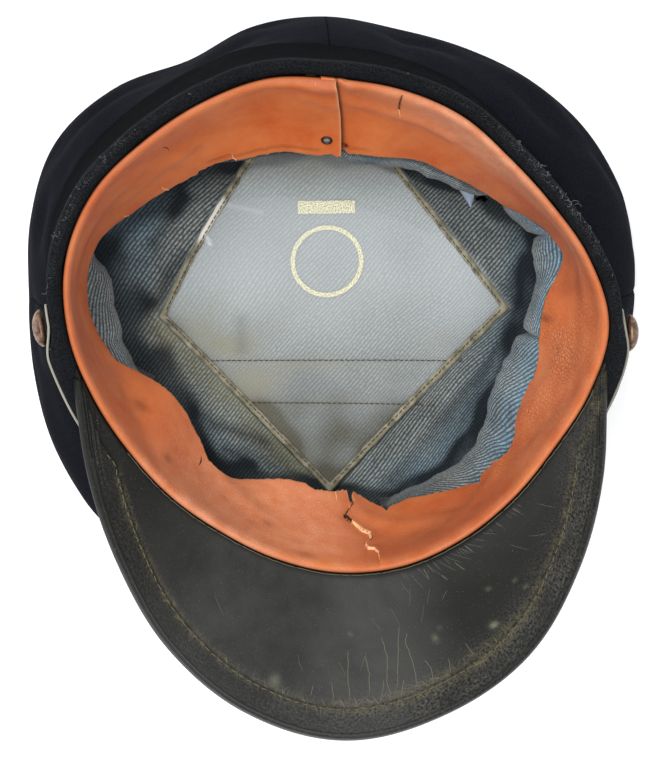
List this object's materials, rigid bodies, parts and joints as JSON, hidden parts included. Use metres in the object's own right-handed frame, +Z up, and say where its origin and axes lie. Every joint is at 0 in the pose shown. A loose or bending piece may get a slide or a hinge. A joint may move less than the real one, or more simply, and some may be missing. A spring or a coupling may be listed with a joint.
{
  "type": "peaked cap",
  "caption": "Wool peaked cap lying upside down, with leather sweatband, twill lining, clear sweat shield, patent visor, chin strap and side buttons.",
  "frame": {"origin": "bottom centre of the bounding box, on the plane of the crown's flat outer face, which the cap lies on", "axes": "+Z up out of the opening, +Y towards the centre back, -Y towards the visor, +X towards the wearer's right side, because the cap lies upside down; seen from above with the visor near the viewer, +X is to the right"},
  "size_m": [0.2216, 0.2378, 0.1142],
  "materials": {
    "crown_wool": "felted wool, matt",
    "band_wool": "felted wool, worn, with lint",
    "sweatband_leather": "smooth, stained and cracked",
    "lining_twill": "diagonal twill, faded",
    "shield_celluloid": "clear, glossy, yellowed",
    "shield_edge_tape": "woven, stitched",
    "visor_leather": "lacquered, scuffed and crazed",
    "strap_patent": "lacquered, with a pale raw edge",
    "button_metal": "tarnished, plain dome"
  },
  "bodies": {
    "root": {"crown_top": "crown_wool", "quarter_back_right": "crown_wool", "quarter_back_left": "crown_wool", "quarter_front_left": "crown_wool", "quarter_front_right": "crown_wool", "band": "band_wool", "sweatband": "sweatband_leather", "lining": "lining_twill", "sweat_shield": "shield_celluloid", "shield_tape": "shield_edge_tape", "visor": "visor_leather", "visor_binding": "visor_leather", "chin_strap": "strap_patent", "button_left": "button_metal", "button_right": "button_metal"}
  },
  "joints": []
}
